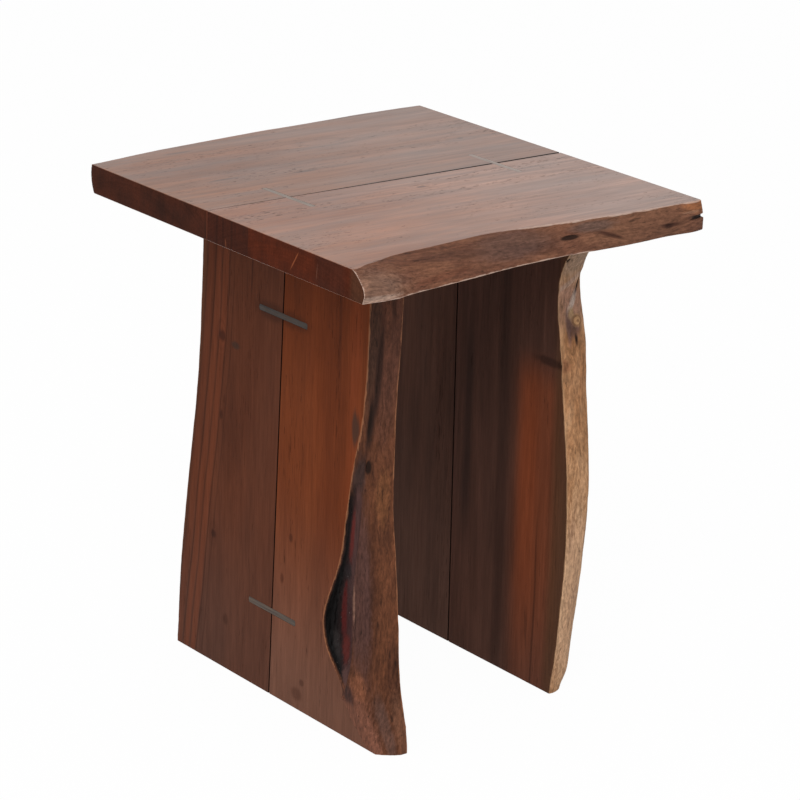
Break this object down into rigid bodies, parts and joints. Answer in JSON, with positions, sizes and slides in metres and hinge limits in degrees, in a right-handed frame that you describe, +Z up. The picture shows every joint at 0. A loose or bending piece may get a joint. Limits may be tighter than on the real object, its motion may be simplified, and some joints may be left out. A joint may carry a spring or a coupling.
{
  "type": "live edge side table",
  "caption": "Low side table with a live edge slab top on plank legs; boards meet at open joint lines bridged by inlaid wooden keys and hidden dowels.",
  "frame": {"origin": "on the floor, under the middle of the table's outline", "axes": "+X along the grain of the top towards its right end, +Y towards the back, +Z up"},
  "size_m": [0.418, 0.472, 0.5],
  "materials": {
    "top_slab_wood": "satin oiled",
    "leg_slab_wood": "satin oiled",
    "key_wood": "satin",
    "dowel_wood": "raw"
  },
  "bodies": {
    "root": {"left_leg_back_board": "leg_slab_wood", "left_leg_back_inner_head_dowel": "dowel_wood", "left_leg_back_outer_head_dowel": "dowel_wood", "left_leg_front_board": "leg_slab_wood", "left_leg_front_inner_head_dowel": "dowel_wood", "left_leg_front_outer_head_dowel": "dowel_wood", "left_leg_high_joint_dowel": "dowel_wood", "left_leg_low_joint_dowel": "dowel_wood", "left_leg_lower_key": "key_wood", "left_leg_middle_joint_dowel": "dowel_wood", "left_leg_upper_key": "key_wood", "right_leg_back_board": "leg_slab_wood", "right_leg_back_inner_head_dowel": "dowel_wood", "right_leg_back_outer_head_dowel": "dowel_wood", "right_leg_front_board": "leg_slab_wood", "right_leg_front_inner_head_dowel": "dowel_wood", "right_leg_front_outer_head_dowel": "dowel_wood", "right_leg_high_joint_dowel": "dowel_wood", "right_leg_low_joint_dowel": "dowel_wood", "right_leg_lower_key": "key_wood", "right_leg_middle_joint_dowel": "dowel_wood", "right_leg_upper_key": "key_wood", "top_back_board": "top_slab_wood", "top_front_board": "top_slab_wood", "top_left_joint_dowel": "dowel_wood", "top_left_key": "key_wood", "top_middle_joint_dowel": "dowel_wood", "top_right_joint_dowel": "dowel_wood", "top_right_key": "key_wood"}
  },
  "joints": []
}
